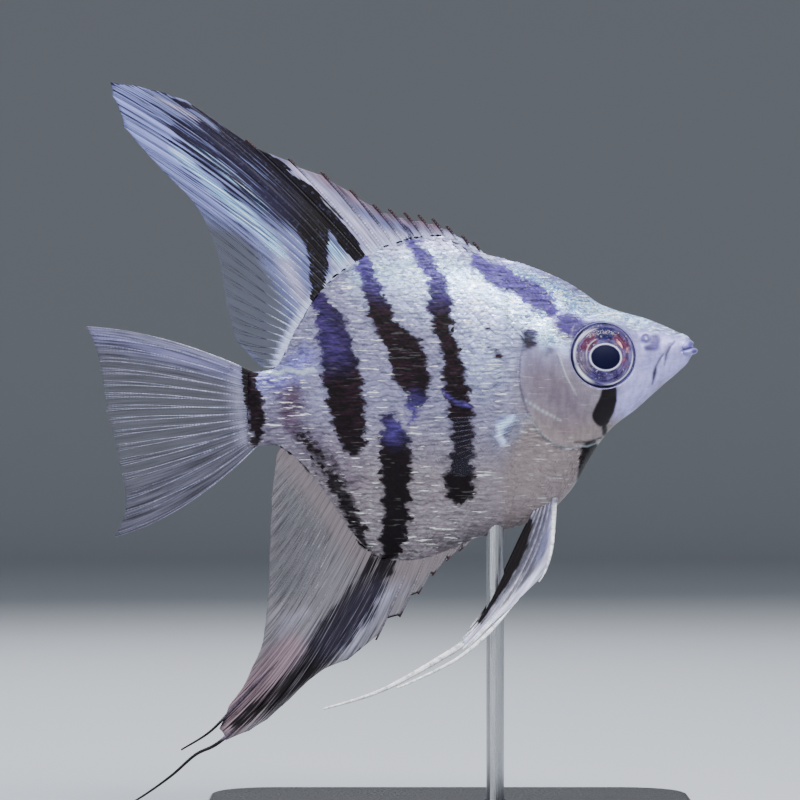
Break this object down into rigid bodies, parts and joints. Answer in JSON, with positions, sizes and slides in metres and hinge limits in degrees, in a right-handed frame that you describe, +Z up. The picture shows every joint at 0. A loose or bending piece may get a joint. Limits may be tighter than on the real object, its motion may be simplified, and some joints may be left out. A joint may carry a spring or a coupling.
{
  "type": "freshwater clown angelfish",
  "caption": "Life-size still model of a young freshwater clown angelfish, tall and flat-sided with swept fins, held by a rod on a plain oblong base.",
  "frame": {"origin": "middle of the underside of the stand's base, where it rests on a table", "axes": "+Z up along the rod, +X the way the fish swims, +Y to the fish's left"},
  "size_m": [0.0836, 0.042, 0.1021],
  "materials": {
    "skin": "wet silver scales with dark bars",
    "dark_fin": "smoky blue-black membrane",
    "clear_fin": "clear membrane with pale rays",
    "eye": "clear, wet gloss over a mauve iris",
    "stand_base": "black satin lacquer",
    "stand_rod": "fine satin"
  },
  "bodies": {
    "root": {"head": "skin", "trunk": "skin", "tail_stalk": "skin", "dorsal_fin": "dark_fin", "anal_fin": "dark_fin", "tail_fin": "clear_fin", "pectoral_fin_left": "clear_fin", "pectoral_fin_right": "clear_fin", "pelvic_fin_left": "clear_fin", "pelvic_fin_right": "clear_fin", "eye_left": "eye", "eye_right": "eye", "stand_base": "stand_base", "stand_rod": "stand_rod"}
  },
  "joints": []
}
